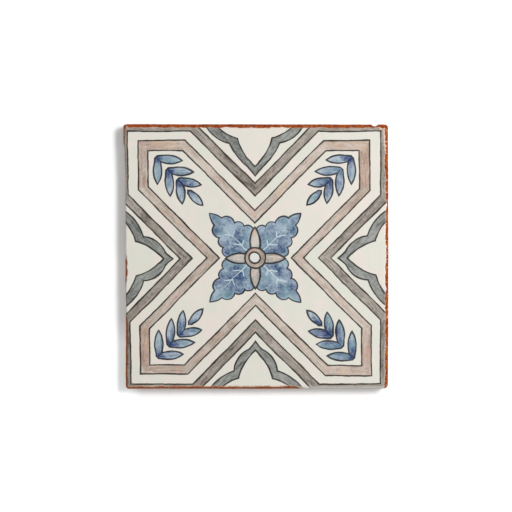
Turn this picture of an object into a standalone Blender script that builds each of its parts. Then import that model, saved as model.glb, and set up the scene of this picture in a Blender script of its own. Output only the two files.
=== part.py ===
"""A square terracotta wall or floor tile with a raised, fused coat of glaze.

Metres, +Z up. The tile lies on its back with the glazed face up. The origin is the middle of
the back, +X runs to the right of the painted face and +Y to its top edge.
"""

import math

import bmesh
import bpy
from mathutils import Vector

# Whole tile
SIDE_X = 0.1990
SIDE_Y = 0.2004
THICKNESS = 0.0120
CORNER_RADII = {"top_left": 0.0013, "bottom_left": 0.0028, "bottom_right": 0.0028, "top_right": 0.0023}
BACK_SETBACK = 0.0007
ARRIS = 0.0008

# Coat of glaze: it stands proud of the body and stops short of the edge by a different amount on each side
GLAZE_PROUD = 0.0006
GLAZE_ROOT = 0.0016
GLAZE_ROUND = 0.0004
GLAZE_RADII = {"top_left": 0.0022, "bottom_left": 0.0032, "bottom_right": 0.0030, "top_right": 0.0026}
SETBACK_TOP = 0.0022
SETBACK_RIGHT = 0.0019
SETBACK_BOTTOM = 0.0013
SETBACK_BOTTOM_ROLLED = 0.0004
SETBACK_LEFT = 0.0005
SETBACK_LEFT_BARE = 0.0015
BOTTOM_ROLL_START = 0.030
LEFT_BARE_START = -0.045
SETBACK_BLEND = 0.010

# Hand-cut edges: the right edge bows out, the top edge falls towards its right end, the top of the
# left edge stands out as a small ear, and all ripple a little
RIGHT_BOW = 0.0003
TOP_FALL = 0.00035
EAR_REACH = 0.0005
EAR_START = 0.0875
EAR_BLEND = 0.004
RIPPLE = 0.00012
RIPPLE_WAVES = (2.0, 5.0)
GLAZE_RIPPLE = 0.00015
GLAZE_WAVES = (7.0, 13.0)

# Chip out of the top edge near the right corner: a flake that runs down the whole side
CHIP_X = 0.0894
CHIP_WIDTH = 0.0050
CHIP_DEPTH = 0.0014
CHIP_DROP = 0.0300
CHIP_SEARCH_Y = 0.09

# Mesh density
SIDE_STEPS = 24
CORNER_STEPS = 5
ARRIS_SEGMENTS = 2
WELD_DISTANCE = 1e-6
CAP_NORMAL = 0.9
BEVEL_ANGLE = math.radians(50.0)

BODY_COLOUR = (0.42, 0.15, 0.05, 1.0)
BODY_ROUGHNESS = 0.85
GLAZE_COLOUR = (0.73, 0.69, 0.62, 1.0)
GLAZE_ROUGHNESS = 0.35


def clear_scene():
    for old in list(bpy.data.objects):
        bpy.data.objects.remove(old, do_unlink=True)


def new_collection(name):
    collection = bpy.data.collections.new(name)
    bpy.context.scene.collection.children.link(collection)
    return collection


def new_material(name, colour, roughness):
    material = bpy.data.materials.new(name)
    material.use_nodes = True
    shader = material.node_tree.nodes["Principled BSDF"]
    shader.inputs["Base Color"].default_value = colour
    shader.inputs["Roughness"].default_value = roughness
    shader.inputs["Metallic"].default_value = 0.0
    return material


def smooth_step(start, width, value):
    t = min(1.0, max(0.0, (value - start) / width + 0.5))
    return t * t * (3.0 - 2.0 * t)


def corner_arc(centre, radius, start_degrees):
    """Points and outward normals of a quarter circle, counter-clockwise."""
    arc = []
    for step in range(CORNER_STEPS + 1):
        angle = math.radians(start_degrees + 90.0 * step / CORNER_STEPS)
        normal = Vector((math.cos(angle), math.sin(angle)))
        arc.append((centre + normal * radius, normal))
    return arc


def side_points(first, last, normal):
    """Points between two corner arcs, without the end points the arcs already have."""
    return [(first.lerp(last, step / SIDE_STEPS), normal) for step in range(1, SIDE_STEPS)]


def rounded_rectangle(left, right, bottom, top, radii):
    """An outline as (point, outward normal), counter-clockwise from the bottom right corner."""
    corners = [
        ("bottom_right", right, bottom, -1.0, 1.0, -90.0),
        ("top_right", right, top, -1.0, -1.0, 0.0),
        ("top_left", left, top, 1.0, -1.0, 90.0),
        ("bottom_left", left, bottom, 1.0, 1.0, 180.0),
    ]
    arcs = []
    for name, x, y, inward_x, inward_y, start in corners:
        radius = radii[name]
        centre = Vector((x + inward_x * radius, y + inward_y * radius))
        arcs.append(corner_arc(centre, radius, start))
    outline = []
    for index, arc in enumerate(arcs):
        following = arcs[(index + 1) % len(arcs)]
        outline.extend(arc)
        outline.extend(side_points(arc[-1][0], following[0][0], arc[-1][1]))
    return outline


def ripple(point, waves, size, phase):
    """A small wave along the edge, a rule of the position alone."""
    turn = math.atan2(point.y, point.x)
    return size * (math.sin(waves[0] * turn + phase) + 0.6 * math.sin(waves[1] * turn + 2.0 * phase)) / 1.6


def edge_shift(point, normal):
    """How far the hand-cut edge lies outside the true rectangle at this point."""
    along_right = 1.0 - (2.0 * point.y / SIDE_Y) ** 2
    bow = RIGHT_BOW * max(0.0, normal.x) * along_right
    fall = TOP_FALL * max(0.0, normal.y) * smooth_step(0.0, SIDE_X, point.x)
    ear = EAR_REACH * max(0.0, -normal.x) * smooth_step(EAR_START, EAR_BLEND, point.y)
    return bow - fall + ear + ripple(point, RIPPLE_WAVES, RIPPLE, 0.4)


def extra_setback(point, normal):
    """How much further in, or out, the glaze stops along parts of the left and bottom edges."""
    rolled = smooth_step(BOTTOM_ROLL_START, SETBACK_BLEND, point.x)
    bare = 1.0 - smooth_step(LEFT_BARE_START, SETBACK_BLEND, point.y)
    bottom = (SETBACK_BOTTOM_ROLLED - SETBACK_BOTTOM) * rolled * max(0.0, -normal.y) ** 2
    left = (SETBACK_LEFT_BARE - SETBACK_LEFT) * bare * max(0.0, -normal.x) ** 2
    return Vector((left, bottom))


def body_outline():
    """The hand-cut outline, moved so that its bounding box is centred on the origin."""
    nominal = rounded_rectangle(-SIDE_X / 2.0, SIDE_X / 2.0, -SIDE_Y / 2.0, SIDE_Y / 2.0, CORNER_RADII)
    shifted = [point + normal * edge_shift(point, normal) for point, normal in nominal]
    middle_x = (min(point.x for point in shifted) + max(point.x for point in shifted)) / 2.0
    middle_y = (min(point.y for point in shifted) + max(point.y for point in shifted)) / 2.0
    middle = Vector((middle_x, middle_y))
    return [point - middle for point in shifted], middle


def glaze_outline(middle):
    """The edge of the glaze, which follows the body's edge further in."""
    nominal = rounded_rectangle(
        -SIDE_X / 2.0 + SETBACK_LEFT,
        SIDE_X / 2.0 - SETBACK_RIGHT,
        -SIDE_Y / 2.0 + SETBACK_BOTTOM,
        SIDE_Y / 2.0 - SETBACK_TOP,
        GLAZE_RADII,
    )
    points = []
    for point, normal in nominal:
        outward = edge_shift(point, normal) + ripple(point, GLAZE_WAVES, GLAZE_RIPPLE, 1.1)
        points.append(point + normal * outward + extra_setback(point, normal) - middle)
    return points


def weld_and_clean_caps(mesh):
    """Join the caps to the sides and make each cap a single face."""
    work = bmesh.new()
    work.from_mesh(mesh)
    bmesh.ops.remove_doubles(work, verts=work.verts, dist=WELD_DISTANCE)
    inner = [
        edge for edge in work.edges
        if len(edge.link_faces) == 2 and all(abs(face.normal.z) > CAP_NORMAL for face in edge.link_faces)
    ]
    bmesh.ops.dissolve_edges(work, edges=inner, use_verts=False)
    work.to_mesh(mesh)
    work.free()


def slab_from_outline(name, points, bottom, top, collection):
    """A flat slab as a filled 2D curve with thickness, made a closed mesh."""
    curve = bpy.data.curves.new(name, "CURVE")
    curve.dimensions = "2D"
    curve.fill_mode = "BOTH"
    curve.extrude = (top - bottom) / 2.0
    spline = curve.splines.new("POLY")
    spline.points.add(len(points) - 1)
    for target, point in zip(spline.points, points):
        target.co = (point.x, point.y, 0.0, 1.0)
    spline.use_cyclic_u = True
    flat = bpy.data.objects.new(name + "_curve", curve)
    flat.location.z = (top + bottom) / 2.0
    collection.objects.link(flat)
    bpy.context.view_layer.update()
    evaluated = flat.evaluated_get(bpy.context.evaluated_depsgraph_get())
    mesh = bpy.data.meshes.new_from_object(evaluated)
    mesh.name = name
    weld_and_clean_caps(mesh)
    slab = bpy.data.objects.new(name, mesh)
    slab.matrix_world = flat.matrix_world.copy()
    collection.objects.link(slab)
    bpy.data.objects.remove(flat, do_unlink=True)
    return slab


def add_bevel(slab, width, segments):
    bevel = slab.modifiers.new("eased_edges", "BEVEL")
    bevel.width = width
    bevel.segments = segments
    bevel.limit_method = "ANGLE"
    bevel.angle_limit = BEVEL_ANGLE
    bevel.use_clamp_overlap = False


def mark_as_tool(tool):
    tool.hide_render = True
    tool.display_type = "WIRE"


def taper_back(slab):
    """The back is cut slightly smaller than the face, so that neighbours close up at the face."""
    for vertex in slab.data.vertices:
        if vertex.co.z < 0.0:
            vertex.co.x *= 1.0 - 2.0 * BACK_SETBACK / SIDE_X
            vertex.co.y *= 1.0 - 2.0 * BACK_SETBACK / SIDE_Y


def build_body(outline, collection):
    body = slab_from_outline("tile", outline, 0.0, THICKNESS - GLAZE_PROUD, collection)
    taper_back(body)
    add_bevel(body, ARRIS, ARRIS_SEGMENTS)
    return body


def build_glaze_coat(middle, collection):
    bottom = THICKNESS - GLAZE_PROUD - GLAZE_ROOT
    coat = slab_from_outline("glaze_coat", glaze_outline(middle), bottom, THICKNESS, collection)
    add_bevel(coat, GLAZE_ROUND, ARRIS_SEGMENTS)
    mark_as_tool(coat)
    return coat


def build_chip_cutter(outline, collection):
    """A tall, flattened ball that takes a shallow bite out of the edge."""
    top_edge = [point for point in outline if point.y > CHIP_SEARCH_Y]
    edge_y = min(top_edge, key=lambda point: abs(point.x - CHIP_X)).y
    half_width = CHIP_WIDTH / 2.0
    reach_y = 2.0 * CHIP_DEPTH
    bpy.ops.mesh.primitive_uv_sphere_add(segments=24, ring_count=12, radius=1.0)
    cutter = bpy.context.active_object
    cutter.name = "chip_cutter"
    for vertex in cutter.data.vertices:
        vertex.co.x *= half_width
        vertex.co.y *= reach_y
        vertex.co.z *= CHIP_DROP
    cutter.location = (CHIP_X, edge_y + reach_y - CHIP_DEPTH, THICKNESS - GLAZE_PROUD)
    for owner in list(cutter.users_collection):
        owner.objects.unlink(cutter)
    collection.objects.link(cutter)
    mark_as_tool(cutter)
    return cutter


def add_boolean(target, tool, operation):
    boolean = target.modifiers.new(operation.lower() + "_" + tool.name, "BOOLEAN")
    boolean.operation = operation
    boolean.solver = "EXACT"
    boolean.object = tool


def build_tile():
    parts = new_collection("glazed_terracotta_tile")
    tools = new_collection("tile_tools")
    outline, middle = body_outline()
    body = build_body(outline, parts)
    add_boolean(body, build_glaze_coat(middle, tools), "UNION")
    add_boolean(body, build_chip_cutter(outline, tools), "DIFFERENCE")
    body.data.materials.append(new_material("bisque", BODY_COLOUR, BODY_ROUGHNESS))
    body.data.materials.append(new_material("glaze", GLAZE_COLOUR, GLAZE_ROUGHNESS))


clear_scene()
build_tile()
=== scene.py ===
import math

import bpy
import numpy as np
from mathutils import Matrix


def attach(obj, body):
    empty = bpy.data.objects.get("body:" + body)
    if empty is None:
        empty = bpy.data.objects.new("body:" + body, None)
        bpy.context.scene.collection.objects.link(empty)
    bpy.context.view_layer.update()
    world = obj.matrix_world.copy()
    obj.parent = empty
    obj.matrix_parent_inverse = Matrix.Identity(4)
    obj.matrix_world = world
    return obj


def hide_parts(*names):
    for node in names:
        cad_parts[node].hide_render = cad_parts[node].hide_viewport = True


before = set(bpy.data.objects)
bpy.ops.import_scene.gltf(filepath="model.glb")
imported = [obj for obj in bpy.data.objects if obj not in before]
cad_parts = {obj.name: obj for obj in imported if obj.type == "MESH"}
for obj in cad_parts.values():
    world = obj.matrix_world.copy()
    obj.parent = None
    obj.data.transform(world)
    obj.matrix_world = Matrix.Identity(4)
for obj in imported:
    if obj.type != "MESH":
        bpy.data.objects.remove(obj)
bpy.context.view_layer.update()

MM = 0.001
SQRT2 = math.sqrt(2.0)

# Tile body, millimetres
HALF_X = 99.55
HALF_Y = 100.30
BODY_TOP = 11.40
GLAZE_TOP = 12.00
CORNER_RADII = {"bottom_right": 3.6, "top_right": 2.3, "top_left": 1.7, "bottom_left": 2.8}
LEAST_RADIUS = 0.25
BACK_SETBACK = 0.7
BACK_BEVEL_TOP = 0.6
ARRIS = 0.9
RIGHT_BOW = 0.30
TOP_FALL = 0.35

# The left side steps outwards on its way up to the ear: by how much, from where and how gradually
LEFT_FOOT = -0.38
LEFT_STEPS = [(0.85, 84.5, 1.2), (0.60, 68.0, 3.0), (0.38, -25.0, 3.0)]

# Flake out of the top edge near the right corner: the ball that bites it out
CHIP_MIDDLE = (89.4, HALF_Y + 0.75, BODY_TOP + 0.3)
CHIP_HALF_SIZE = (2.6, 2.45, 30.0)

# Relief of the clay: seed, size of the features, how far they move the surface, and any stretch
EDGE_RELIEF = [(3, 45.0, 0.12), (4, 9.0, 0.06)]
SIDE_RELIEF = [(11, 6.0, 0.09), (12, 1.8, 0.06), (13, 0.7, 0.035), (14, 1.0, 0.05, (0.05, 0.05, 1.4))]
PITS = (15, 1.5, 1.0)
PIT_LEVEL = 0.55
PIT_DEPTH = 0.35

# Above this height the relief also moves the rim of the face, by a share of itself and a little down
UPPER_PART = 5.0
FACE_SHARE = 0.6
FACE_SINK = 0.03

# How far the glaze stops inside the clay's edge on each stretch: the mean, then what the slow, the
# middling and the quick noise add
GLAZE_NOISES = [(21, 14.0, 1.0), (22, 4.0, 1.0), (23, 1.3, 1.0)]
GLAZE_SETBACK = {
    "top": (2.4, 0.25, 0.45, 0.2),
    "right": (2.15, 0.35, 0.45, 0.35),
    "bottom": (1.6, 0.2, 0.4, 0.15),
    "low_left": (1.3, 0.3, 0.4, 0.15),
    "middle_left": (1.0, 0.0, 0.4, 0.3),
    "high_left": (1.35, 0.0, 0.3, 0.0),
}
ROLLED_LEFT = 0.12
ROLLED_BOTTOM = 0.15
LEAST_SETBACK = 0.06

# Where those stretches start, and how gradually; a negative width means that they end there
BOTTOM_ROLL_START = (33.0, 2.0)
BOTTOM_ROLL_END = (97.2, -0.4)
LOW_LEFT_END = (-47.0, -2.0)
HIGH_LEFT_START = (87.0, 1.5)

# Middle and half length of the bare stretch halfway up the left and of the narrow rim on the right
BARE_LEFT = (-10.0, 10.0)
NARROW_RIGHT = (32.0, 9.0)
NARROWED_BY = 0.9

# Rounded edge of the glaze, which is tucked into the clay; it is wrapped over where its setback is small
GLAZE_ROUND = 0.9
TUCK_INSET = 0.4
TUCK_DEPTH = 0.5
LIP_SINK = 0.06
WRAPPED_BELOW = 0.5
WRAPPED_WITHIN = 0.3

# Mesh density; profiles are pairs of inset and height
SIDE_STEPS = 500
ARC_STEPS = 12
SIDE_ROWS = 20
BACK_PROFILE = [(4.0, 0.0), (2.2, 0.0), (1.5, 0.0), (1.15, 0.05), (0.85, 0.25), (0.70, BACK_BEVEL_TOP)]
TOP_INSETS = (0.02, 0.08, 0.18, 0.33, 0.52, 0.72, 0.9, 1.15, 1.45, 1.8, 2.2, 2.7, 3.3, 4.2)
GLAZE_STEPS = (0.0, 0.03, 0.08, 0.16, 0.27, 0.42, 0.62, 0.9, 1.3, 1.9, 2.8, 4.2)

# Painted design, millimetres from its own middle, which lies a little low and left on the tile
DESIGN_MIDDLE = (-1.10, -1.10)

# Slips of the hand: the design leans, less so in the middle, and some sides are drawn in, out or lower
DESIGN_LEAN = 0.0085
DESIGN_STRETCH = 0.9925
LEAN_AT_MIDDLE = 0.4
LEAN_FULL_FROM = 70.0
TALL_DRAWN_IN = 0.85
LEFT_DROP = 0.6
LEFT_DRAWN_IN = 0.4
RIGHT_DRAWN_OUT = 0.35

# The hand's slow wobble and quick tremble: how far they go, and the noise that they follow
WOBBLE = 1.3
WOBBLE_NOISE = (24.0, 1.0)
TREMBLE = 0.55
TREMBLE_NOISE = (4.5, 1.0, 0.5, 37.0)

# Each eighth of the design takes its brush streaks from its own part of the noise
EIGHTH_STEPS = (31.0, 57.0, 83.0)

# Lines of the bands: where they turn on the axes and where they run along the edge, with how far out
# of true a side was drawn and how much it leans
PINK_INNER = {"apex": 27.3, "corner": 80.7, "right": (-0.9, -0.005), "bottom": (0.0, 0.004)}
PINK_OUTER = {
    "apex": 36.7,
    "corner": 87.9,
    "right": (-0.5, 0.0),
    "top": (0.5, 0.0),
    "bottom": (0.0, 0.010),
}
EDGE_BAND_INNER = {
    "apex": 47.7,
    "corner": 95.2,
    "right": (-0.3, 0.010),
    "left": (0.3, 0.004),
    "bottom": (-0.4, 0.0),
}
EDGE_BAND_OUTER = 57.0

# Brackets: the wedge of the tip, how far aside it goes, and the two circles (x, y, radius) of its arcs
BRACKET_OUTER = {
    "tip": 62.4,
    "spread": 1.3,
    "reach": 4.2,
    "near": (86.1, -2.6, 19.2),
    "far": (119.1, 6.6, 35.6),
}
TOP_BRACKET_OUTER = dict(BRACKET_OUTER, near=(116.2, -39.0, 65.0), far=(111.9, 14.6, 25.1))
BRACKET_INNER = {
    "tip": 69.9,
    "spread": 1.0,
    "reach": 2.5,
    "near": (99.5, -23.4, 37.4),
    "far": (123.9, 4.6, 34.1),
}
TIP_BLEND = 1.8
BOTTOM_BRACKET_DRAWN_OUT = 1.0

# Leaf sprays: each pair's joint and its level and upright tip. A quarter's spray is drawn in towards
# the middle by its own amount, across and upright: top left, top right, bottom left, bottom right
LEAF_PAIRS = [
    ((73.5, 74.7), (54.8, 73.6), (73.5, 55.6)),
    ((65.2, 66.0), (46.4, 64.8), (63.9, 46.7)),
    ((57.3, 58.4), (40.8, 55.2), (54.9, 40.9)),
]
DRAWN_IN_ACROSS = (0.0, 0.3, -0.2, 0.65)
DRAWN_IN_UPRIGHT = (0.2, -0.1, 1.0, 0.0)
LEAF_WIDTH = 6.3
LEAF_START = (1.2, 0.1)
LONE_LEAF = ((50.7, 50.9), (39.6, 39.6))
LONE_LEAF_WIDTH = 5.6
LONE_LEAF_BLUNT_END = (48.8, 49.0, 1.9)
LONE_LEAF_FROM_JOINT = 1.0

# A round elbow joins each pair, a notch parts its leaves, and each pair takes its own step in the noise
ELBOW_SETBACK = 1.6
ELBOW_RADIUS = 3.6
ELBOW_BLEND = 2.2
NOTCH_SETBACK = (2.4, -0.3)
NOTCH_TAPER = 0.08
LEAF_PAIR_PITCH = 17.5
LEAF_STEP = 5.0

# Rosette, with its lobes as circles (x, y, radius) in one folded eighth
RING_RADIUS = 7.9
HOLE_RADIUS = 4.25
HOLE_MIDDLE = (-0.5, 0.2)
PETAL = {"middle": 11.9, "half_length": 11.3, "half_width": 3.9}
LEVEL_PETAL_DROP = 0.4
LEVEL_PETAL_SHORTER = 0.3
ROSETTE_LOBES = [
    (20.8, 5.3, 4.5),
    (23.1, 12.9, 4.85),
    (26.1, 21.6, 6.1),
    (11.4, 11.4, 12.9),
    (20.5, 20.5, 6.0),
]
ROSETTE_TIP = {"middle": 38.6, "half_length": 10.15, "half_width": 3.95}
ROSETTE_SQUASH = 1.03
VEINS = [
    ((5.6, 5.4), (23.4, 22.2)),
    ((10.4, 9.9), (16.6, 10.3)),
    ((10.0, 9.6), (9.0, 13.8)),
    ((17.4, 16.8), (23.2, 17.9)),
    ((17.0, 16.4), (16.0, 20.4)),
]
VEIN_WARP = 2.6
VEIN_NOISE = (6.0, 2.0, 0.5, 43.0)
VEIN_TAPER = 0.012
VEIN_EDGE = (0.62, 0.18)

# Brush lines
STROKE_HALF_WIDTH = 0.55
STROKE_SOFTNESS = 0.13
PRESSURE_NOISE = (11.0, 2.0, 0.5, 71.0)
PRESSURE = 0.8
INK_GRAIN = 0.15
THINNEST_INK = 0.92
BOLDER_LEAVES = 0.07
BOLDER_FLOWER = 0.10

# Paints, as 8-bit colours: where the wash pools, where it runs thin, and its second tint
PAINTS = {
    "taupe": ((74, 66, 57), (180, 170, 160), (148, 117, 106)),
    "pink": ((152, 135, 120), (206, 193, 181), (198, 148, 138)),
    "warm_pink": ((148, 122, 106), (201, 180, 166), (198, 150, 130)),
    "grey": ((70, 72, 69), (158, 159, 154), (118, 126, 122)),
    "leaf": ((38, 60, 114), (174, 186, 194), (112, 148, 158)),
    "rosette": ((44, 72, 112), (158, 175, 188), (98, 140, 148)),
    "petal": ((120, 114, 106), (206, 199, 190), (206, 164, 136)),
    "ring": ((128, 112, 96), (194, 180, 164), (194, 148, 130)),
}
BLUSH = (0.50, 0.72)
BLUSH_SHARE = {"taupe": 0.4, "pink": 0.38, "warm_pink": 0.5, "grey": 0.3, "ring": 0.5}
WARM_WHERE = (-0.12, 0.08, 1.0, 0.35)

# Leaves: their paint pools at the joints, with what the noise, each leaf and the low right one add
POOL_REACH = 12.0
POOL_NOISE = 16.0
POOL_EACH = 10.0
POOL_LOW_RIGHT = 3.5
POOL_THINNING = 0.86
LEAF_DARKEST = 0.10
LEAF_STREAKS = 1.5
LEAF_TINT = (0.44, 0.62)
UNPAINTED_EDGE = 0.3

# Rosette: where its second tint, its pale edge and its petals' pooled edge start and are full
ROSETTE_TINT = (0.48, 0.62)
PALE_EDGE = (-2.4, -0.4)
PALE_EDGE_HUE = (0.44, 0.54)
PETAL_EDGE = (-2.0, -0.3)
PETAL_TINT = (0.46, 0.34)
RING_BLUSH = (0.46, 0.66)

# Tints over a wash or over the clay: the colour, the noise where it starts and is full, and its share
TINTS = {
    "olive_grey": ((142, 137, 123), (0.46, 0.58), 0.5),
    "greyed_pink": ((182, 172, 162), (0.54, 0.68), 0.55),
    "tan": ((206, 178, 148), (0.43, 0.32), 0.38),
    "rosy_cream": ((227, 214, 206), (0.50, 0.64), 0.7),
    "ochre_clay": ((190, 102, 24), (0.52, 0.68), 0.65),
    "burnt_clay": ((84, 30, 10), (0.46, 0.32), 0.8),
    "sandy_clay": ((188, 112, 62), (0.58, 0.75), 0.4),
    "dragged_clay": ((166, 92, 50), (0.55, 0.75), 0.3),
}
CREAMS = ((222, 216, 205), (217, 215, 203))
CLAYS = ((132, 53, 12), (150, 70, 20))
# Painted shade: a duller clay for the left and bottom sides, which face away from the lights
SHADED_SIDE_CLAY = (122, 80, 46)
SPLASHES = (214, 186, 160)
GLAZE_RUNS = (198, 191, 180)
THIN_GLAZE_ON_EAR = (142, 122, 104)
PALE_BLUE = (176, 188, 196)
PALE_TEAL = (160, 186, 192)
LAVENDER = (154, 164, 186)
VEIN_COLOUR = (202, 216, 218)
DISC_COLOUR = (217, 215, 210)
INK_ON_CREAM = (20, 15, 7)
INK_ON_BLUE = (14, 20, 34)
RIM_TINTS = {
    "left": (150, 92, 60),
    "right": (206, 160, 138),
    "top": (196, 128, 84),
    "bottom": (200, 152, 130),
    "top_right": (228, 188, 170),
}
ROLLED_GLAZE = (200, 194, 186)

# Where each rim's tint starts and is full, in millimetres across or up the tile
RIGHT_RIM = (93.0, 95.0)
TOP_RIM = (94.0, 96.0)
BOTTOM_RIM = (-94.0, -96.0)
TOP_RIGHT_RIM = ((90.0, 94.0), (70.0, 84.0))
RIM_WIDTH = (0.75, 0.1)
RIM_RAGGEDNESS = 0.9
RIM_SHARE = 0.65
BOTTOM_RIM_WIDER = 0.5
TOP_RIGHT_RIM_WIDER = 0.6
ROLLED_RIM = (-97.2, -98.6)
ROLLED_FROM = (28.0, 36.0)
ROLLED_TO = (97.5, 96.0)
ROLLED_SHARE = 0.6

# Glaze that ran down the left and bottom sides: where, its lower end, and how the runs vary
LEFT_RUNS = (-97.6, -98.6)
LEFT_RUNS_MIDDLE = 42.0
LEFT_RUNS_HALF = (45.0, 42.5)
BOTTOM_RUNS = (-97.6, -98.6)
BOTTOM_RUNS_FROM = (30.0, 36.0)
RUNS_LOW_END = (9.2, 9.6)
RUN_LEVEL = 0.49
RUN_STEEPNESS = 5.5
RUN_LENGTH = 5.2
EAR_SIDE = (-97.8, -98.8)
EAR_MIDDLE = 90.0
EAR_HALF = (8.0, 4.5)
EAR_LOW_END = (8.6, 10.2)

# Noises of the paint, the glaze and the clay: size in millimetres, detail, roughness and place
WASH_NOISES = {
    "cloud": (30.0, 1.0, 0.5, 11.0),
    "pool": (8.0, 4.0, 0.6, 53.0),
    "tint": (13.0, 3.0, 0.6, 91.0),
    "hue": (17.0, 2.0, 0.6, 131.0),
    "speckle": (1.5, 2.0, 0.7, 7.0),
    "blotch": (9.5, 2.0, 0.5, 151.0),
}
STREAKS = (1.7, 2.0, 0.6)
PETAL_STREAKS = (1.4, 2.0, 0.6)
GLAZE_GRAIN = (1.6, 3.0, 0.6, 7.0)
GLAZE_WAVES = (14.0, 2.0, 0.45, 23.0)
ORANGE_PEEL = (0.9, 2.0, 0.5, 29.0)
CLAY_MOTTLE = (7.0, 4.0, 0.6)
CLAY_GRAIN = (0.8, 4.0, 0.65, 13.0)
CLAY_DRAG = (5.0, 3.0, 0.6, 31.0)
CLAY_PATCH = (3.2, 3.0, 0.6, 47.0)
CLAY_SPLASH = (1.5, 3.0, 0.6, 61.0)
TRICKLE = (5.5, 1.0, 0.4, 83.0)

# Roughness and relief: strength and depth in millimetres
GLAZE_ROUGHNESS = (0.34, 0.44)
GLAZE_SPECULAR = 0.35
CLAY_ROUGHNESS = 0.88
RUN_ROUGHNESS = 0.42
CLAY_SPECULAR = 0.25
WAVE_RELIEF = (0.25, 1.2)
PEEL_RELIEF = (0.06, 0.15)
MOTTLE_RELIEF = (0.35, 0.8)
DRAG_RELIEF = (0.3, 0.3)
GRAIN_RELIEF = (0.5, 0.2)
RUN_RELIEF = (0.5, 0.4)

# Sockets of Blender's colour mixing node
MIX_FACTOR = 0
MIX_FIRST = 6
MIX_SECOND = 7
MIX_RESULT = 2


def srgb(red, green, blue):
    """Linear colour of an 8-bit one."""
    linear = []
    for value in (red, green, blue):
        level = value / 255.0
        linear.append(level / 12.92 if level <= 0.04045 else ((level + 0.055) / 1.055) ** 2.4)
    return (*linear, 1.0)


# Shader arithmetic

class Field:
    """A number that varies over the surface, with the usual operators."""

    def __init__(self, graph, socket):
        self.graph = graph
        self.socket = socket

    def __add__(self, other):
        return self.graph.math("ADD", self, other)

    def __radd__(self, other):
        return self.graph.math("ADD", other, self)

    def __sub__(self, other):
        return self.graph.math("SUBTRACT", self, other)

    def __rsub__(self, other):
        return self.graph.math("SUBTRACT", other, self)

    def __mul__(self, other):
        return self.graph.math("MULTIPLY", self, other)

    def __rmul__(self, other):
        return self.graph.math("MULTIPLY", other, self)

    def __truediv__(self, other):
        return self.graph.math("DIVIDE", self, other)

    def __neg__(self):
        return self.graph.math("MULTIPLY", self, -1.0)

    def __abs__(self):
        return self.graph.math("ABSOLUTE", self)


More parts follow.
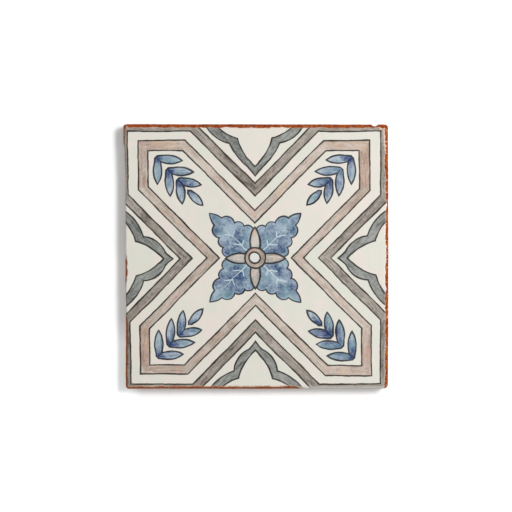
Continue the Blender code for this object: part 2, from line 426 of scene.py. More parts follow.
class Graph:
    """Short names for the shader nodes that a material is made of; it is called g below."""

    def __init__(self, name):
        self.material = bpy.data.materials.new(name)
        self.material.use_nodes = True
        self.nodes = self.material.node_tree.nodes
        self.links = self.material.node_tree.links
        self.shader = self.nodes["Principled BSDF"]
        coordinates = self.nodes.new("ShaderNodeTexCoord")
        self.place = self.vector_math("SCALE", coordinates.outputs["Object"], scale=1.0 / MM)

    def feed(self, socket, value):
        if isinstance(value, Field):
            self.links.new(value.socket, socket)
        elif isinstance(value, bpy.types.NodeSocket):
            self.links.new(value, socket)
        else:
            socket.default_value = value

    def math(self, operation, *values, clamp=False):
        node = self.nodes.new("ShaderNodeMath")
        node.operation = operation
        node.use_clamp = clamp
        for socket, value in zip(node.inputs, values):
            self.feed(socket, value)
        return Field(self, node.outputs[0])

    def vector_math(self, operation, first, second=None, scale=None):
        node = self.nodes.new("ShaderNodeVectorMath")
        node.operation = operation
        self.feed(node.inputs[0], first)
        if second is not None:
            self.feed(node.inputs[1], second)
        if scale is not None:
            self.feed(node.inputs["Scale"], scale)
        return node.outputs["Vector"]

    def split(self, vector):
        node = self.nodes.new("ShaderNodeSeparateXYZ")
        self.feed(node.inputs[0], vector)
        return tuple(Field(self, output) for output in node.outputs)

    def join(self, x, y, z=0.0):
        node = self.nodes.new("ShaderNodeCombineXYZ")
        for socket, value in zip(node.inputs, (x, y, z)):
            self.feed(socket, value)
        return node.outputs[0]

    def distance(self, vector, x, y):
        node = self.nodes.new("ShaderNodeVectorMath")
        node.operation = "DISTANCE"
        self.feed(node.inputs[0], vector)
        node.inputs[1].default_value = (x, y, 0.0)
        return Field(self, node.outputs["Value"])

    def low(self, *values):
        result = values[0]
        for value in values[1:]:
            result = self.math("MINIMUM", result, value)
        return result

    def high(self, *values):
        result = values[0]
        for value in values[1:]:
            result = self.math("MAXIMUM", result, value)
        return result

    def ramp(self, value, start, end, low=0.0, high=1.0):
        """A smooth step from low at start to high at end."""
        node = self.nodes.new("ShaderNodeMapRange")
        node.interpolation_type = "SMOOTHSTEP"
        self.feed(node.inputs["Value"], value)
        flipped = start > end
        limits = (end, start, high, low) if flipped else (start, end, low, high)
        for name, limit in zip(("From Min", "From Max", "To Min", "To Max"), limits):
            node.inputs[name].default_value = limit
        return Field(self, node.outputs["Result"])

    def noise(self, cell, detail=2.0, roughness=0.5, offset=0.0, vector=None, colour=False, stretch=None):
        """Noise around 0.5 with features about as large as cell, in millimetres."""
        vector = vector or self.place
        if stretch:
            vector = self.vector_math("MULTIPLY", vector, stretch)
        if offset:
            vector = self.vector_math("ADD", vector, (offset, offset * 0.7, offset * 0.3))
        node = self.nodes.new("ShaderNodeTexNoise")
        self.feed(node.inputs["Vector"], vector)
        node.inputs["Scale"].default_value = 1.0 / cell
        node.inputs["Detail"].default_value = detail
        node.inputs["Roughness"].default_value = roughness
        return node.outputs["Color"] if colour else Field(self, node.outputs["Fac"])

    def mix(self, factor, first, second):
        """The first colour where the factor is 0 and the second where it is 1."""
        node = self.nodes.new("ShaderNodeMix")
        node.data_type = "RGBA"
        node.clamp_factor = True
        self.feed(node.inputs[MIX_FACTOR], factor)
        self.feed(node.inputs[MIX_FIRST], first)
        self.feed(node.inputs[MIX_SECOND], second)
        return node.outputs[MIX_RESULT]

    def mix_number(self, factor, first, second):
        """The first number where the factor is 0 and the second where it is 1."""
        return first + (second - first) * factor

    def attribute(self, name):
        node = self.nodes.new("ShaderNodeAttribute")
        node.attribute_name = name
        return Field(self, node.outputs["Fac"])

    def surface(self, colour, roughness, specular, reliefs=()):
        """Feeds the shader its colour, its gloss and its reliefs, one over the other."""
        self.feed(self.shader.inputs["Base Color"], colour)
        self.feed(self.shader.inputs["Roughness"], roughness)
        self.shader.inputs["Specular IOR Level"].default_value = specular
        normal = self.shader.inputs["Normal"]
        for height, (strength, depth) in reversed(reliefs):
            node = self.nodes.new("ShaderNodeBump")
            node.inputs["Strength"].default_value = strength
            node.inputs["Distance"].default_value = depth * MM
            self.feed(node.inputs["Height"], height)
            self.links.new(node.outputs["Normal"], normal)
            normal = node.inputs["Normal"]


# Distances to the strokes of the painted design

def leaf_shape(g, point, start, end, width):
    """Signed distance to a pointed leaf between two points."""
    across = (end[0] - start[0], end[1] - start[1])
    length = math.hypot(*across)
    radius = length * length / (4.0 * width) + width / 4.0
    away = radius - width / 2.0
    middle = ((start[0] + end[0]) / 2.0, (start[1] + end[1]) / 2.0)
    side = (-across[1] / length * away, across[0] / length * away)
    first = g.distance(point, middle[0] + side[0], middle[1] + side[1])
    second = g.distance(point, middle[0] - side[0], middle[1] - side[1])
    return g.high(first, second) - radius


def disc(g, point, shape):
    """Signed distance to a disc given as x, y and radius."""
    return g.distance(point, shape[0], shape[1]) - shape[2]


def bracket(g, out, aside, shape):
    """The pointed double arc that closes each side, with its tip drawn out."""
    point = g.join(out, aside)
    spread = shape["spread"]
    wedge = (aside * spread - out + shape["tip"]) / math.hypot(1.0, spread)
    tip = g.high(wedge, aside - shape["reach"])
    near = g.math("SMOOTH_MIN", tip, disc(g, point, shape["near"]), TIP_BLEND)
    return g.low(near, disc(g, point, shape["far"]))


def stroke(g, point, start, end, taper=0.0):
    """Distance to a straight stroke, which grows with taper along it and so thins it out."""
    x, y, _ = g.split(point)
    length = math.hypot(end[0] - start[0], end[1] - start[1])
    unit = ((end[0] - start[0]) / length, (end[1] - start[1]) / length)
    along = (x - start[0]) * unit[0] + (y - start[1]) * unit[1]
    along = g.math("MINIMUM", g.math("MAXIMUM", along, 0.0), length)
    off_x = x - start[0] - along * unit[0]
    off_y = y - start[1] - along * unit[1]
    return g.math("SQRT", off_x * off_x + off_y * off_y) + along * taper


def by_quarter(g, right, top, values):
    """The value for the quarter that a point lies in: top left, top right, bottom left, bottom right."""
    upper = g.mix_number(right, values[0], values[1])
    lower = g.mix_number(right, values[2], values[3])
    return g.mix_number(top, lower, upper)


class Design:
    """Signed distances, in millimetres, to each part of the painted design."""

    def __init__(self, g):
        x, y, _ = g.split(g.place)
        wobble = g.split(g.noise(*WOBBLE_NOISE, colour=True))
        tremble = g.split(g.noise(*TREMBLE_NOISE, colour=True))
        sway = (wobble[0] - 0.5) * WOBBLE + (tremble[0] - 0.5) * TREMBLE
        heave = (wobble[1] - 0.5) * WOBBLE + (tremble[1] - 0.5) * TREMBLE
        lean = g.low(abs(x) * (1.0 - LEAN_AT_MIDDLE) / LEAN_FULL_FROM + LEAN_AT_MIDDLE, 1.0)
        x = x - DESIGN_MIDDLE[0] + y * DESIGN_LEAN * lean + sway
        y = y * DESIGN_STRETCH - DESIGN_MIDDLE[1] + heave
        across = abs(x)
        up = abs(y)
        longer = g.high(across, up)
        shorter = g.low(across, up)
        self.longer = longer
        self.shorter = shorter
        tall = g.math("GREATER_THAN", up, across)
        right = g.math("GREATER_THAN", x, 0.0)
        top = g.math("GREATER_THAN", y, 0.0)
        self.eighth = right * EIGHTH_STEPS[0] + top * EIGHTH_STEPS[1] + tall * EIGHTH_STEPS[2]
        self.bands(g, x, y, longer, shorter, tall)
        self.sprays(g, x, y, across, up, right, top)
        self.rosette(g, x, y, longer, shorter, across, up, tall)

    def bands(self, g, x, y, longer, shorter, tall):
        reach = longer + tall * TALL_DRAWN_IN
        far_left = g.math("LESS_THAN", x + abs(y), 0.0)
        far_right = g.math("GREATER_THAN", x - abs(y), 0.0)
        aside = g.mix_number(far_left, shorter, abs(y + LEFT_DROP))
        self.slant = reach - shorter
        reach = reach - far_right * RIGHT_DRAWN_OUT
        outer_slant = reach - aside
        self.pink_inner = self.arm(g, x, y, self.slant, PINK_INNER)
        self.pink_outer = self.arm(g, x, y, self.slant, PINK_OUTER)
        self.edge_inner = self.arm(g, x, y, outer_slant, EDGE_BAND_INNER)
        self.edge_outer = (outer_slant + far_left * LEFT_DRAWN_IN - EDGE_BAND_OUTER) / SQRT2
        reach = reach + far_left * LEFT_DRAWN_IN
        far_top = g.math("GREATER_THAN", y - abs(x), 0.0)
        far_bottom = g.math("LESS_THAN", y + abs(x), 0.0)
        outer = reach - far_bottom * BOTTOM_BRACKET_DRAWN_OUT
        inner = reach - far_bottom * (BOTTOM_BRACKET_DRAWN_OUT / 2.0)
        usual = bracket(g, outer, aside, BRACKET_OUTER)
        flatter = bracket(g, outer, aside, TOP_BRACKET_OUTER)
        self.bracket_outer = g.mix_number(far_top, usual, flatter)
        self.bracket_inner = bracket(g, inner, aside, BRACKET_INNER)

    def arm(self, g, x, y, slant, shape):
        """The outline of the saltire of long arms with square outer corners."""
        sides = []
        for name, out, along in (("right", x, y), ("left", -x, y), ("top", y, x), ("bottom", -y, x)):
            shift, lean = shape.get(name, (0.0, 0.0))
            side = out - (shape["corner"] + shift)
            sides.append(side - along * lean if lean else side)
        return g.high((slant - shape["apex"]) / SQRT2, *sides)

    def sprays(self, g, x, y, across, up, right, top):
        level = across + by_quarter(g, right, top, DRAWN_IN_ACROSS)
        upright = up + by_quarter(g, right, top, DRAWN_IN_UPRIGHT)
        quadrant = g.join(level, upright)
        parts = []
        notches = []
        joints = []
        for joint, level_tip, upright_tip in LEAF_PAIRS:
            level_start = (joint[0] + LEAF_START[0], joint[1] + LEAF_START[1])
            upright_start = (joint[0] + LEAF_START[1], joint[1] + LEAF_START[0])
            pair = g.low(
                leaf_shape(g, quadrant, level_start, level_tip, LEAF_WIDTH),
                leaf_shape(g, quadrant, upright_start, upright_tip, LEAF_WIDTH),
            )
            inner, outer = [(joint[0] - back, joint[1] - back) for back in NOTCH_SETBACK]
            elbow = disc(g, quadrant, (joint[0] - ELBOW_SETBACK, joint[1] - ELBOW_SETBACK, ELBOW_RADIUS))
            elbow = g.high(elbow, (sum(inner) - level - upright) / SQRT2)
            parts.append(g.math("SMOOTH_MIN", pair, elbow, ELBOW_BLEND))
            notches.append(stroke(g, quadrant, inner, outer, NOTCH_TAPER))
            joints.append(g.distance(quadrant, *joint))
        parts.append(leaf_shape(g, quadrant, *LONE_LEAF, LONE_LEAF_WIDTH))
        parts.append(disc(g, quadrant, LONE_LEAF_BLUNT_END))
        joints.append(g.distance(quadrant, *LONE_LEAF[0]) + LONE_LEAF_FROM_JOINT)
        self.leaves = g.low(*parts)
        self.leaf_notches = g.high(g.low(*notches), self.leaves)
        self.from_joint = g.low(*joints)
        self.low_right = g.math("GREATER_THAN", x, 0.0) * g.math("LESS_THAN", y, 0.0)
        pair_number = g.math("FLOOR", (across + up) / LEAF_PAIR_PITCH)
        self.which_leaf = pair_number * LEAF_STEP + self.eighth

    def rosette(self, g, x, y, longer, shorter, across, up, tall):
        petal_point = g.join(
            longer + (1.0 - tall) * LEVEL_PETAL_SHORTER,
            g.mix_number(tall, abs(y + LEVEL_PETAL_DROP), shorter),
        )
        up = up * ROSETTE_SQUASH
        folded = g.join(g.high(across, up), g.low(across, up))
        lobes = [disc(g, folded, lobe) for lobe in ROSETTE_LOBES]
        start = (ROSETTE_TIP["middle"] - ROSETTE_TIP["half_length"]) / SQRT2
        end = (ROSETTE_TIP["middle"] + ROSETTE_TIP["half_length"]) / SQRT2
        tip = leaf_shape(g, folded, (start, start), (end, end), 2.0 * ROSETTE_TIP["half_width"])
        self.rosette_leaf = g.low(tip, *lobes)
        near = PETAL["middle"] - PETAL["half_length"]
        far = PETAL["middle"] + PETAL["half_length"]
        self.petal = leaf_shape(g, petal_point, (near, 0.0), (far, 0.0), 2.0 * PETAL["half_width"])
        plan = g.join(x, y)
        self.ring = g.distance(plan, 0.0, 0.0) - RING_RADIUS
        self.hole = g.distance(plan, *HOLE_MIDDLE) - HOLE_RADIUS
        bend = g.split(g.noise(*VEIN_NOISE, colour=True))
        bent = g.join(across + (bend[0] - 0.5) * VEIN_WARP, up + (bend[1] - 0.5) * VEIN_WARP)
        self.veins = g.low(*[stroke(g, bent, start, end, VEIN_TAPER) for start, end in VEINS])

    def strokes(self, g):
        """Distance to the nearest brush line, on either side of it."""
        lines = g.low(
            abs(self.pink_inner),
            abs(self.pink_outer),
            abs(self.edge_inner),
            abs(self.edge_outer),
            abs(self.bracket_outer),
            abs(self.bracket_inner),
            abs(self.leaves) - BOLDER_LEAVES,
            self.leaf_notches,
        )
        leaf_line = g.high(abs(self.rosette_leaf), -self.petal, -self.ring)
        petal_line = g.high(abs(self.petal), -self.ring)
        flower = g.low(petal_line, abs(self.ring), abs(self.hole)) - BOLDER_FLOWER
        return g.low(lines, leaf_line, flower)


# Materials

def inside(g, distance, soft=0.25):
    """1 inside the shape and 0 outside it."""
    return g.ramp(distance, soft, -soft)


def wash(g, paint, tone, tinge):
    """A thin wash, dark where tone is 0 and light where it is 1, with its second tint where tinge is 1."""
    pooled, thin, second = [srgb(*shade) for shade in PAINTS[paint]]
    return g.mix(tinge, g.mix(tone, pooled, thin), second)


def tinted(g, colour, noise, name):
    """The colour with a tint over it, where the noise lies within that tint's limits."""
    shade, (start, full), share = TINTS[name]
    return g.mix(g.ramp(noise, start, full) * share, colour, srgb(*shade))


class Brushwork:
    """The noises that the washes share, with streaks that run along each stroke."""

    def __init__(self, g, design):
        self.cloud = g.noise(*WASH_NOISES["cloud"]) - 0.5
        self.pool = g.noise(*WASH_NOISES["pool"]) - 0.5
        self.tint = g.noise(*WASH_NOISES["tint"])
        self.hue = g.noise(*WASH_NOISES["hue"])
        self.speckle = g.noise(*WASH_NOISES["speckle"]) - 0.5
        self.blotch = g.noise(*WASH_NOISES["blotch"]) - 0.5
        slanting = g.join((design.longer + design.shorter) * 0.09, design.slant * 0.75, design.eighth)
        straight = g.join(design.shorter * 0.12, design.longer, design.eighth)
        outward = g.join(design.longer * 0.12, design.shorter, design.eighth)
        self.slanting = g.noise(*STREAKS, vector=slanting) - 0.5
        self.straight = g.noise(*STREAKS, vector=straight) - 0.5
        self.outward = g.noise(*PETAL_STREAKS, vector=outward) - 0.5

    def tone(self, g, streak, cloud=1.1, pool=0.9, streaks=1.8, speckle=1.2, middle=0.5):
        total = self.cloud * cloud + self.pool * pool + streak * streaks + self.speckle * speckle
        return g.math("ADD", total, middle, clamp=True)

    def at_edge(self, g, design, shape):
        """1 where a band runs straight along the tile's edge, 0 where it slants."""
        to_edge = design.longer - shape["corner"]
        to_slant = (design.slant - shape["apex"]) / SQRT2
        return g.ramp(to_edge - to_slant, -1.0, 1.0)

    def along(self, g, design, shape):
        """Streaks that turn with a band from its slant to the tile's edge."""
        return g.mix_number(self.at_edge(g, design, shape), self.slanting, self.straight)


def paint_bands(g, design, brush, colour):
    blush = g.ramp(brush.tint, *BLUSH)
    taupe_tone = brush.tone(g, brush.along(g, design, EDGE_BAND_INNER), middle=0.60)
    taupe = wash(g, "taupe", taupe_tone, blush * BLUSH_SHARE["taupe"])
    taupe = tinted(g, taupe, brush.hue, "olive_grey")
    colour = g.mix(inside(g, -design.edge_inner) * inside(g, design.edge_outer), colour, taupe)
    pink_tone = brush.tone(g, brush.along(g, design, PINK_OUTER), middle=0.60)
    pink = wash(g, "pink", pink_tone, blush * BLUSH_SHARE["pink"])
    warm_pink = wash(g, "warm_pink", pink_tone, blush * BLUSH_SHARE["warm_pink"])
    warmth = brush.at_edge(g, design, PINK_OUTER) * g.ramp(brush.cloud, *WARM_WHERE)
    pink = g.mix(warmth, pink, warm_pink)
    pink = tinted(g, pink, brush.hue, "greyed_pink")
    pink = tinted(g, pink, brush.hue, "tan")
    colour = g.mix(inside(g, -design.pink_inner) * inside(g, design.pink_outer), colour, pink)
    grey = wash(g, "grey", brush.tone(g, brush.slanting, middle=0.58), blush * BLUSH_SHARE["grey"])
    return g.mix(inside(g, design.bracket_outer) * inside(g, -design.bracket_inner), colour, grey)


def paint_leaves(g, design, brush, colour):
    """Leaves whose paint pools dark where they join, differently in each, over a pale ground."""
    each = g.noise(1.0, 0.0, vector=g.join(design.which_leaf, 0.5)) - 0.5
    from_pool = design.from_joint + brush.pool * POOL_NOISE + each * POOL_EACH
    from_pool = from_pool - design.low_right * POOL_LOW_RIGHT
    thinning = g.ramp(from_pool, 0.0, POOL_REACH) * POOL_THINNING
    streaks = brush.straight * LEAF_STREAKS + brush.speckle + LEAF_DARKEST
    tone = g.math("ADD", streaks, thinning, clamp=True)
    leaf = wash(g, "leaf", tone, g.ramp(brush.tint + each * 0.3, *LEAF_TINT) * 0.5)
    colour = g.mix(inside(g, design.leaves), colour, srgb(*PALE_BLUE))
    body_of_leaf = inside(g, design.leaves + UNPAINTED_EDGE + brush.pool * 2.2, 0.5)
    return g.mix(body_of_leaf, colour, leaf)


def paint_rosette(g, design, brush, colour):
    tone = brush.tone(g, brush.blotch, cloud=1.0, pool=0.6, streaks=2.7, speckle=1.8, middle=0.55)
    blue = wash(g, "rosette", tone, g.ramp(brush.tint, *ROSETTE_TINT) * 0.45)
    pale_edge = g.ramp(design.rosette_leaf + brush.pool * 3.0, *PALE_EDGE)
    edge_tint = g.mix(g.ramp(brush.hue, *PALE_EDGE_HUE), srgb(*PALE_TEAL), srgb(*LAVENDER))
    blue = g.mix(pale_edge * 0.5, blue, edge_tint)
    vein = g.ramp(design.veins + brush.speckle * 0.5, *VEIN_EDGE)
    blue = g.mix(vein * 0.9, blue, srgb(*VEIN_COLOUR))
    colour = g.mix(inside(g, design.rosette_leaf), colour, blue)
    pooled_edge = g.ramp(design.petal + brush.pool * 2.0, *PETAL_EDGE)
    petal_tone = brush.tone(g, brush.outward, streaks=1.5, middle=0.72) - pooled_edge * 0.5
    petal = wash(g, "petal", petal_tone, g.ramp(brush.hue, *PETAL_TINT) * 0.6)
    colour = g.mix(inside(g, design.petal), colour, petal)
    blush = g.ramp(brush.tint, *RING_BLUSH)
    ring_tone = brush.tone(g, brush.pool, streaks=0.6, middle=0.60)
    ring = wash(g, "ring", ring_tone, blush * BLUSH_SHARE["ring"])
    colour = g.mix(inside(g, design.ring), colour, ring)
    return g.mix(inside(g, design.hole), colour, srgb(*DISC_COLOUR))


def draw_ink(g, design, brush, colour):
    pressure = (g.noise(*PRESSURE_NOISE) - 0.5) * PRESSURE + brush.speckle * INK_GRAIN
    outer_edge = STROKE_HALF_WIDTH + STROKE_SOFTNESS
    inner_edge = STROKE_HALF_WIDTH - STROKE_SOFTNESS
    line = g.ramp(design.strokes(g) - pressure, outer_edge, inner_edge)
    on_blue = g.ramp(g.low(design.leaves, design.rosette_leaf), 0.9, 0.3)
    ink = g.mix(on_blue, srgb(*INK_ON_CREAM), srgb(*INK_ON_BLUE))
    strength = g.ramp(brush.pool, -0.25, 0.15, 1.0, THINNEST_INK)
    return g.mix(line * strength, colour, ink)


def tint_rim(g, grain, colour):
    """The clay shows through where the glaze thins out, and the glaze is pale where it rolled over."""
    x, y, _ = g.split(g.place)
    at_bottom = g.ramp(y, *BOTTOM_RIM)
    at_top_right = g.ramp(x, *TOP_RIGHT_RIM[0]) * g.ramp(y, *TOP_RIGHT_RIM[1])
    tint = g.mix(g.ramp(x, *RIGHT_RIM), srgb(*RIM_TINTS["left"]), srgb(*RIM_TINTS["right"]))
    for share, side in ((g.ramp(y, *TOP_RIM), "top"), (at_bottom, "bottom"), (at_top_right, "top_right")):
        tint = g.mix(share, tint, srgb(*RIM_TINTS[side]))
    wider = 1.0 - at_bottom * BOTTOM_RIM_WIDER - at_top_right * TOP_RIGHT_RIM_WIDER
    from_edge = g.attribute("rim") * wider + (grain - 0.5) * RIM_RAGGEDNESS
    colour = g.mix(g.ramp(from_edge, *RIM_WIDTH) * RIM_SHARE, colour, tint)
    rolled = g.ramp(y + grain, *ROLLED_RIM) * g.ramp(x, *ROLLED_FROM) * g.ramp(x, *ROLLED_TO)
    return g.mix(rolled * ROLLED_SHARE, colour, srgb(*ROLLED_GLAZE))


def glaze_material():
    g = Graph("painted_glaze")
    design = Design(g)
    brush = Brushwork(g, design)
    grain = g.noise(*GLAZE_GRAIN)

    warm, cool = [srgb(*shade) for shade in CREAMS]
    colour = g.mix(g.ramp(brush.cloud, -0.15, 0.15), warm, cool)
    colour = tinted(g, colour, brush.hue, "rosy_cream")
    colour = paint_bands(g, design, brush, colour)
    colour = paint_leaves(g, design, brush, colour)
    colour = paint_rosette(g, design, brush, colour)
    colour = draw_ink(g, design, brush, colour)
    colour = tint_rim(g, grain, colour)

    reliefs = [(g.noise(*GLAZE_WAVES), WAVE_RELIEF), (g.noise(*ORANGE_PEEL), PEEL_RELIEF)]
    g.surface(colour, g.ramp(grain, 0.3, 0.7, *GLAZE_ROUGHNESS), GLAZE_SPECULAR, reliefs)
    return g.material


def clay_colour(g, x, y, z, mottle, grain, drag, patch):
    """Fired clay in several tints, painted shade dulling its left and bottom sides, glaze splashed near
    the face.
    """
    clay = g.mix(g.ramp(mottle, 0.38, 0.62), *[srgb(*shade) for shade in CLAYS])
    tints = ((patch, "ochre_clay"), (patch, "burnt_clay"), (grain, "sandy_clay"), (drag, "dragged_clay"))
    for noise, name in tints:
        clay = tinted(g, clay, noise, name)
    # Painted shade: the left and bottom sides, which face away from the lights, take a duller clay
    shaded_sides = g.high(g.ramp(x, -96.0, -98.0), g.ramp(y, -96.0, -98.0))
    clay = g.mix(shaded_sides * 0.4, clay, srgb(*SHADED_SIDE_CLAY))
    near_face = g.ramp(z, 10.6, 11.3)
    splash = g.ramp(g.noise(*CLAY_SPLASH), 0.57, 0.64)
    most_at_right = g.ramp(x, 90.0, 98.0, 0.25, 1.0)
    return g.mix(splash * near_face * most_at_right * 0.8, clay, srgb(*SPLASHES))


def glaze_runs(g, x, y, z, mottle, grain):
    """1 where the glaze that rolled over the left and bottom edges ran down the side."""
    trickle = g.noise(*TRICKLE, stretch=(1.0, 1.0, 0.04))
    rise = g.high(trickle - RUN_LEVEL, 0.0)
    length = g.math("SQRT", g.math("MULTIPLY", rise, RUN_STEEPNESS, clamp=True)) * RUN_LENGTH
    low_end = g.ramp(z + length + (mottle - 0.5) * 4.0 + (grain - 0.5) * 0.8, *RUNS_LOW_END)
    along_left = abs(y - LEFT_RUNS_MIDDLE) + (mottle - 0.5) * 14.0
    left = g.ramp(x, *LEFT_RUNS) * g.ramp(along_left, *LEFT_RUNS_HALF)
    bottom = g.ramp(y, *BOTTOM_RUNS) * g.ramp(x, *BOTTOM_RUNS_FROM) * g.ramp(x, *ROLLED_TO)
    return low_end * g.high(left, bottom)


def bisque_material():
    g = Graph("bisque")
    x, y, z = g.split(g.place)
    mottle = g.noise(*CLAY_MOTTLE)
    grain = g.noise(*CLAY_GRAIN)
    drag = g.noise(*CLAY_DRAG, stretch=(0.4, 0.4, 6.0))
    patch = g.noise(*CLAY_PATCH)
    clay = clay_colour(g, x, y, z, mottle, grain, drag, patch)
    runs = glaze_runs(g, x, y, z, mottle, grain)
    clay = g.mix(runs * g.ramp(patch, 0.35, 0.5, 0.82, 0.96), clay, srgb(*GLAZE_RUNS))
    along_ear = abs(y - EAR_MIDDLE) + (mottle - 0.5) * 12.0
    ear = g.ramp(x, *EAR_SIDE) * g.ramp(along_ear, *EAR_HALF)
    ear = ear * g.ramp(z + (mottle - 0.5) * 10.0, *EAR_LOW_END)
    clay = g.mix(ear * g.ramp(patch, 0.36, 0.44), clay, srgb(*THIN_GLAZE_ON_EAR))
    reliefs = [(mottle, MOTTLE_RELIEF), (drag, DRAG_RELIEF), (grain, GRAIN_RELIEF), (runs, RUN_RELIEF)]
    g.surface(clay, g.ramp(runs, 0.0, 1.0, CLAY_ROUGHNESS, RUN_ROUGHNESS), CLAY_SPECULAR, reliefs)
    return g.material


# Relief from seeded value noise

class Relief:
    """Smooth noise between -strength and strength at points given in millimetres."""

    TABLE = 32

    def __init__(self, seed, cell, strength, stretch=(1.0, 1.0, 1.0)):
        self.table = np.random.RandomState(seed).rand(self.TABLE, self.TABLE, self.TABLE) * 2.0 - 1.0
        self.scale = np.array(stretch) / cell
        self.strength = strength

    def __call__(self, points):
        places = points * self.scale + 100.0
        base = np.floor(places).astype(int)
        part = places - base
        part = part * part * (3.0 - 2.0 * part)
        total = np.zeros(len(points))
        for corner in range(8):
            offset = np.array([corner & 1, (corner >> 1) & 1, (corner >> 2) & 1])
            index = (base + offset) % self.TABLE
            weight = np.prod(np.where(offset, part, 1.0 - part), axis=1)
            total += weight * self.table[index[:, 0], index[:, 1], index[:, 2]]
        return total * self.strength


def step_up(values, middle, width):
    """A soft step from 0 to 1 around the middle; a negative width steps down."""
    return 1.0 / (1.0 + np.exp((middle - values) / width))


# Outline of the tile

class Outline:
    """Points round the tile's edge that can be moved inwards without crossing at the corners."""

    def __init__(self):
        self.corner_from = []
        self.corner_to = []
        self.fraction = []
        self.normals = []
        starts = (-90.0, 0.0, 90.0, 180.0)
        for corner in range(4):
            for step in range(ARC_STEPS + 1):
                angle = math.radians(starts[corner] + 90.0 * step / ARC_STEPS)
                self.add(corner, corner, 0.0, (math.cos(angle), math.sin(angle)))
            angle = math.radians(starts[corner] + 90.0)
            normal = (round(math.cos(angle)), round(math.sin(angle)))
            for step in range(1, SIDE_STEPS):
                self.add(corner, (corner + 1) % 4, step / SIDE_STEPS, normal)
        self.corner_from = np.array(self.corner_from)
        self.corner_to = np.array(self.corner_to)
        self.fraction = np.array(self.fraction)[:, None]
        self.normals = np.array(self.normals, dtype=float)
        names = ("bottom_right", "top_right", "top_left", "bottom_left")
        self.radii = np.array([CORNER_RADII[name] for name in names])
        self.signs = np.array([(1.0, -1.0), (1.0, 1.0), (-1.0, 1.0), (-1.0, -1.0)])
        self.edge = self.ring(np.zeros(len(self.fraction)))
        self.flat_edge = np.column_stack([self.edge, np.zeros(len(self.edge))])
        self.cut = self.normals * self.hand_cut()[:, None]

    def add(self, corner_from, corner_to, fraction, normal):
        self.corner_from.append(corner_from)
        self.corner_to.append(corner_to)
        self.fraction.append(fraction)
        self.normals.append(normal)

    def arc_point(self, corner, inset):
        radius = np.maximum(self.radii[corner] - inset, LEAST_RADIUS)
        reach = inset + radius
        centre = self.signs[corner] * (np.array([HALF_X, HALF_Y]) - reach[:, None])
        return centre + radius[:, None] * self.normals

    def ring(self, inset):
        """The outline moved inwards by inset, one value a point."""
        start = self.arc_point(self.corner_from, inset)
        end = self.arc_point(self.corner_to, inset)
        return start * (1.0 - self.fraction) + end * self.fraction

    def hand_cut(self):
        """How far the cut edge lies outside the ruled one."""
        x, y = self.edge[:, 0], self.edge[:, 1]
        right = np.maximum(self.normals[:, 0], 0.0)
        top = np.maximum(self.normals[:, 1], 0.0)
        left = np.maximum(-self.normals[:, 0], 0.0)
        bow = RIGHT_BOW * right * (1.0 - (y / HALF_Y) ** 2)
        fall = TOP_FALL * top * np.clip((x + HALF_X) / (2.0 * HALF_X), 0.0, 1.0) ** 2
        from_ruled = np.full(len(y), LEFT_FOOT)
        for reach, start, shoulder in LEFT_STEPS:
            from_ruled += reach * step_up(y, start, shoulder)
        shift = bow - fall + from_ruled * left ** 4
        for kind in EDGE_RELIEF:
            shift += Relief(*kind)(self.flat_edge)
        return shift

    def cut_ring(self, inset):
        """The hand-cut outline moved inwards by inset."""
        return self.ring(inset) + self.cut


def body_height(inset):
    """Height of the clay's top at a distance inside its edge, round over the arris."""
    outward = np.clip(1.0 - inset / ARRIS, 0.0, 1.0)
    return BODY_TOP - ARRIS * (1.0 - np.sqrt(np.maximum(1.0 - outward * outward, 0.0)))


def rings_to_mesh(name, rings):
    """Joins rings of equally many points into one skin and closes its first and last ring."""
    count = len(rings[0])
    mesh = bpy.data.meshes.new(name)
    points = np.concatenate(rings) * MM
    faces = []
    index = np.arange(count)
    following = (index + 1) % count
    for row in range(len(rings) - 1):
        this = row * count
        above = this + count
        quads = np.column_stack([this + index, this + following, above + following, above + index])
        faces.extend(quads.tolist())
    faces.append(list(reversed(range(count))))
    faces.append(list(range(len(points) - count, len(points))))
    mesh.from_pydata(points.tolist(), [], faces)
    mesh.update()
    return mesh


def add_piece(name, mesh, material):
    piece = bpy.data.objects.new(name, mesh)
    bpy.context.scene.collection.objects.link(piece)
    mesh.materials.append(material)
    mesh.shade_smooth()
    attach(piece, "root")
    return piece


def chip_away(points):
    """A flake out of the top edge near the right corner, down the whole side."""
    local = (points - np.array(CHIP_MIDDLE)) / np.array(CHIP_HALF_SIZE)
    half_y = CHIP_HALF_SIZE[1]
    depth = np.sqrt(np.maximum(1.0 - local[:, 0] ** 2 - local[:, 2] ** 2, 0.0)) * half_y
    bite = (depth > 0.0) & (points[:, 1] > CHIP_MIDDLE[1] - half_y)
    moved = points.copy()
    moved[bite, 1] = np.minimum(points[bite, 1], CHIP_MIDDLE[1] - depth[bite])
    return moved


def body_profile():
    """Insets and heights of the rings: out over the back, up the side and in under the glaze."""
    profile = list(BACK_PROFILE)
    for step in range(1, SIDE_ROWS + 1):
        part = step / SIDE_ROWS
        height = BACK_BEVEL_TOP + part * (BODY_TOP - ARRIS - BACK_BEVEL_TOP)
        profile.append((BACK_SETBACK * (1.0 - part), height))
    for inset in TOP_INSETS:
        profile.append((inset, body_height(inset)))
    return profile


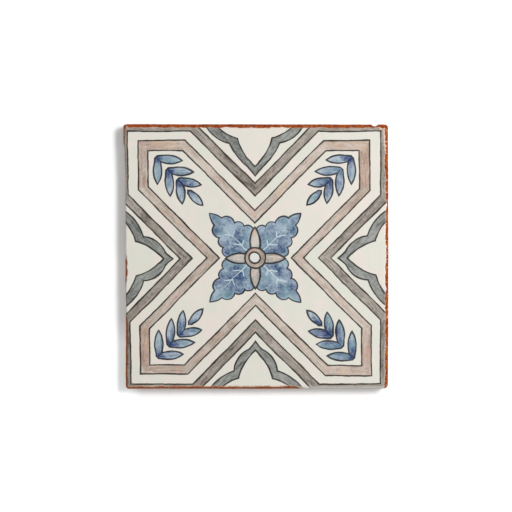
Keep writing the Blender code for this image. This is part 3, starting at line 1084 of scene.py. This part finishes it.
def build_body(outline):
    """The fired clay, with pitted, dragged sides and a plain flat back."""
    reliefs = [Relief(*kind) for kind in SIDE_RELIEF]
    pits = Relief(*PITS)
    rings = []
    for inset, height in body_profile():
        plan = outline.cut_ring(np.full(len(outline.edge), inset))
        points = np.column_stack([plan, np.full(len(plan), height)])
        roughness = sum(relief(points) for relief in reliefs)
        roughness -= PIT_DEPTH * np.clip(pits(points) - PIT_LEVEL, 0.0, 1.0)
        # The relief moves the side outwards and the rim of the face upwards, and leaves the rest flat
        near_edge = np.clip((3.0 - inset) / 1.5, 0.0, 1.0) * (height > 0.01)
        outward = np.clip(1.2 - inset, 0.0, 1.0) * near_edge
        upward = np.clip(inset / 0.6, 0.0, 1.0) * near_edge * (height > UPPER_PART)
        points[:, :2] += outline.normals * (roughness * outward)[:, None]
        points[:, 2] += (FACE_SHARE * roughness - FACE_SINK) * upward
        rings.append(chip_away(points))
    return rings_to_mesh("terracotta_body", rings)


def glaze_edge(outline):
    """How far the glaze stops inside the edge of the clay, point by point."""
    x, y = outline.edge[:, 0], outline.edge[:, 1]
    noises = [Relief(*kind)(outline.flat_edge) for kind in GLAZE_NOISES]

    def setback(stretch):
        total, *strengths = GLAZE_SETBACK[stretch]
        for strength, noise in zip(strengths, noises):
            total = total + strength * noise
        return total

    on_right = setback("right") - NARROWED_BY * np.exp(-((y - NARROW_RIGHT[0]) / NARROW_RIGHT[1]) ** 2)
    rolled = step_up(x, *BOTTOM_ROLL_START) * step_up(x, *BOTTOM_ROLL_END)
    on_bottom = setback("bottom") * (1.0 - rolled) + ROLLED_BOTTOM * rolled
    bare_middle = np.exp(-((y - BARE_LEFT[0]) / BARE_LEFT[1]) ** 4)
    bare_top = step_up(y, *HIGH_LEFT_START)
    on_left = ROLLED_LEFT + step_up(y, *LOW_LEFT_END) * setback("low_left")
    on_left += bare_middle * setback("middle_left") + bare_top * setback("high_left")
    right, top = np.maximum(outline.normals, 0.0).T ** 2
    left, bottom = np.maximum(-outline.normals, 0.0).T ** 2
    edge = on_right * right + on_left * left + setback("top") * top + on_bottom * bottom
    return np.maximum(edge, LEAST_SETBACK)


def build_glaze(outline):
    """The coat of glaze: a rounded edge, then a face that follows the clay's nearly flat top."""
    edge = glaze_edge(outline)
    tucked = edge + TUCK_INSET
    rings = [np.column_stack([outline.cut_ring(tucked), body_height(tucked) - TUCK_DEPTH])]
    rim = [np.zeros(len(edge))]
    wrapped_over = np.clip((WRAPPED_BELOW - edge) / WRAPPED_WITHIN, 0.0, 1.0)
    for step in GLAZE_STEPS:
        inset = edge + step
        swell = min(step / GLAZE_ROUND, 1.0)
        rise = (GLAZE_TOP - BODY_TOP) * math.sqrt(1.0 - (1.0 - swell) ** 2)
        sink = LIP_SINK if step == 0.0 else 0.0
        rings.append(np.column_stack([outline.cut_ring(inset), body_height(inset) + rise - sink]))
        rim.append(step + wrapped_over)
    mesh = rings_to_mesh("glaze_coat", rings)
    attribute = mesh.attributes.new("rim", "FLOAT", "POINT")
    attribute.data.foreach_set("value", np.concatenate(rim).astype(np.float32))
    return mesh


# Stage

CAMERA_DISTANCE = 2.4
CAMERA_CLIP_END = 20.0
SENSOR_WIDTH = 36.0
FRAME_WIDTH = 0.3879
FRAME_MIDDLE = (-0.0005, 0.00035)
WORLD_COLOUR = (0.98, 1.0, 1.02, 1.0)
WORLD_LEVEL = 0.365
FLOOR_SIZE = 6.0
FLOOR_GAP = 0.0001
FLOOR_ALBEDO = 0.95
FLOOR_GLOW = 0.17

# The shadow on the left fades downwards: added glow, and where it starts and is full, in millimetres
LEFT_OF_TILE = (-86.0, -97.0)
LOWER_GLOW = 0.035
LOWER_HALF = (14.0, -6.0)
CORNER_GLOW = 0.17
LOWER_CORNER = (-44.0, -70.0)
GLOW_COLOUR = (0.93, 1.0, 0.97, 1.0)

# Softboxes hang level over the right side: x and y reach as parts of their height, and power
LIGHT_HEIGHT = 1.8
SOFTBOXES = {
    "key": ((0.49, 0.73), (0.14, 0.49), 19.9),
    "wide": ((0.38, 1.22), (-0.06, 0.76), 39.8),
}


def build_stage():
    bpy.ops.mesh.primitive_plane_add(size=FLOOR_SIZE, location=(0.0, 0.0, -FLOOR_GAP))
    floor = bpy.context.active_object
    floor.name = "floor"
    g = Graph("white_sweep")
    x, y, _ = g.split(g.place)
    at_left = g.ramp(x, *LEFT_OF_TILE)
    lower = at_left * g.ramp(y, *LOWER_HALF) * LOWER_GLOW
    corner = at_left * g.ramp(y, *LOWER_CORNER) * CORNER_GLOW
    g.feed(g.shader.inputs["Emission Strength"], lower + corner + FLOOR_GLOW)
    g.shader.inputs["Emission Color"].default_value = GLOW_COLOUR
    g.surface((FLOOR_ALBEDO, FLOOR_ALBEDO, FLOOR_ALBEDO, 1.0), roughness=1.0, specular=0.0)
    floor.data.materials.append(g.material)


def hang_softbox(name, x_reach, y_reach, power):
    light = bpy.data.lights.new(name, "AREA")
    light.shape = "RECTANGLE"
    light.size = (x_reach[1] - x_reach[0]) * LIGHT_HEIGHT
    light.size_y = (y_reach[1] - y_reach[0]) * LIGHT_HEIGHT
    light.energy = power
    lamp = bpy.data.objects.new(name, light)
    lamp.location = (
        sum(x_reach) / 2.0 * LIGHT_HEIGHT,
        sum(y_reach) / 2.0 * LIGHT_HEIGHT,
        LIGHT_HEIGHT,
    )
    bpy.context.scene.collection.objects.link(lamp)


def build_lights():
    world = bpy.data.worlds.new("soft_room")
    world.use_nodes = True
    background = world.node_tree.nodes["Background"]
    background.inputs["Color"].default_value = WORLD_COLOUR
    background.inputs["Strength"].default_value = WORLD_LEVEL
    bpy.context.scene.world = world
    for name, (x_reach, y_reach, power) in SOFTBOXES.items():
        hang_softbox(name, x_reach, y_reach, power)


def build_camera():
    camera = bpy.data.cameras.new("camera")
    camera.sensor_width = SENSOR_WIDTH
    camera.lens = SENSOR_WIDTH * CAMERA_DISTANCE / FRAME_WIDTH
    camera.clip_end = CAMERA_CLIP_END
    holder = bpy.data.objects.new("camera", camera)
    holder.location = (*FRAME_MIDDLE, GLAZE_TOP * MM + CAMERA_DISTANCE)
    bpy.context.scene.collection.objects.link(holder)
    bpy.context.scene.camera = holder
    bpy.context.scene.view_settings.view_transform = "Standard"


outline = Outline()
body = add_piece("terracotta_body", build_body(outline), bisque_material())
add_piece("glaze_coat", build_glaze(outline), glaze_material())
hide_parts("tile")
build_stage()
build_lights()
build_camera()
